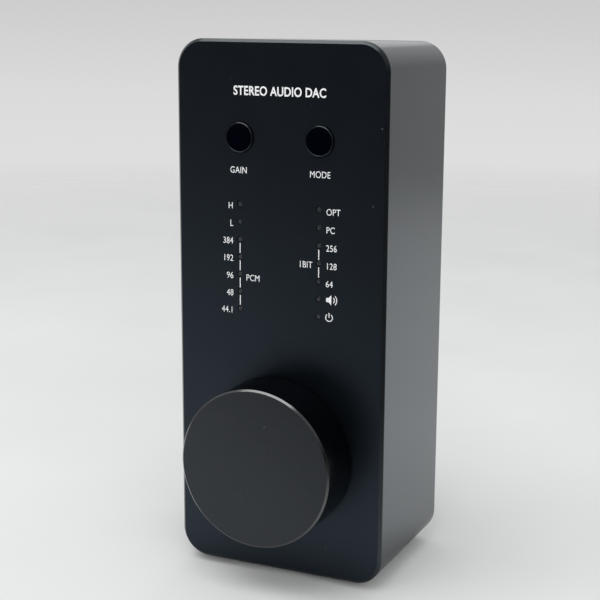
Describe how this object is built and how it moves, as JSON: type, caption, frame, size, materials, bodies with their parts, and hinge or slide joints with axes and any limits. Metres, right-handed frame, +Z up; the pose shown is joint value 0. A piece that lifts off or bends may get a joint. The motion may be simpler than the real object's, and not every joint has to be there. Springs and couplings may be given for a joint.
{
  "type": "desktop dac",
  "caption": "Upright desktop DAC tower: black aluminium casing, large turning volume knob, push buttons, indicator light columns and rear audio sockets.",
  "frame": {"origin": "on the surface it stands on, under the middle of the overall box, which runs from the knob's face to the tips of the phono sockets", "axes": "+X to the right seen from the front, +Y from the front panel towards the rear sockets, +Z up"},
  "size_m": [0.045, 0.051, 0.1082],
  "materials": {
    "panel_black": "fine bead-blasted black anodised, satin",
    "casing_black": "bead-blasted black anodised, satin",
    "rear_black": "black anodised, satin",
    "knob_black": "turned, bead-blasted and anodised black, bright cut rim",
    "button_black": "polished black",
    "screw_black": "black oxide",
    "foot_rubber": "matte",
    "steel": "plain bright steel",
    "nickel_plate": "nickel plated",
    "black_plastic": "fine moulded grain",
    "light_guide_clear": "frosted clear acrylic, unlit",
    "board_green": "solder resist on glass laminate",
    "can_aluminium": "drawn can",
    "red_plastic": "moulded",
    "white_plastic": "moulded"
  },
  "bodies": {
    "chassis": {"front_panel": "panel_black", "casing": "casing_black", "rear_panel": "rear_black", "tie_screw_1": "screw_black", "tie_screw_2": "screw_black", "tie_screw_3": "screw_black", "tie_screw_4": "screw_black", "foot_1": "foot_rubber", "foot_2": "foot_rubber", "foot_3": "foot_rubber", "foot_4": "foot_rubber", "encoder_bushing": "nickel_plate", "encoder_base": "black_plastic", "encoder_washer": "steel", "encoder_nut": "nickel_plate", "gain_switch_body": "black_plastic", "mode_switch_body": "black_plastic", "light_guide_left": "light_guide_clear", "light_guide_right": "light_guide_clear", "display_board": "board_green", "board_screw_1": "steel", "board_screw_2": "steel", "board_screw_3": "steel", "board_screw_4": "steel", "main_board": "board_green", "pin_header": "black_plastic", "pin_socket": "black_plastic", "usb_chip": "black_plastic", "dac_chip": "black_plastic", "crystal": "steel", "power_coil": "black_plastic", "capacitor_1": "can_aluminium", "capacitor_2": "can_aluminium", "capacitor_3": "can_aluminium", "usb_data_port": "steel", "usb_power_port": "steel", "optical_socket": "black_plastic", "phono_right_housing": "black_plastic", "phono_right_shell": "nickel_plate", "phono_right_insulator": "red_plastic", "phono_left_housing": "black_plastic", "phono_left_shell": "nickel_plate", "phono_left_insulator": "white_plastic", "small_jack": "black_plastic", "large_jack": "black_plastic", "large_jack_nut": "nickel_plate"},
    "volume_control": {"volume_knob": "knob_black", "knob_set_screw": "screw_black", "encoder_shaft": "steel"},
    "gain_key": {"gain_button": "button_black", "gain_switch_plunger": "black_plastic"},
    "mode_key": {"mode_button": "button_black", "mode_switch_plunger": "black_plastic"},
    "optical_door": {"optical_shutter": "black_plastic"}
  },
  "joints": [
    {"name": "volume_turn", "type": "hinge", "parent": "chassis", "child": "volume_control", "pos_m": [0, -0.0145, 0.0262], "axis": [0, 1, 0], "continuous": true},
    {"name": "gain_press", "type": "slide", "parent": "chassis", "child": "gain_key", "axis": [0, 1, 0], "range_m": [0, 0.0003], "stiffness_N_per_m": 3000, "springref_m": -0.0002},
    {"name": "mode_press", "type": "slide", "parent": "chassis", "child": "mode_key", "axis": [0, 1, 0], "range_m": [0, 0.0003], "stiffness_N_per_m": 3000, "springref_m": -0.0002},
    {"name": "optical_shutter_swing", "type": "hinge", "parent": "chassis", "child": "optical_door", "pos_m": [-0.0031, 0.0162, 0.0745], "axis": [-1, 0, 0], "range_deg": [0, 80], "stiffness_Nm_per_rad": 0.0004, "springref_deg": -17.19}
  ]
}
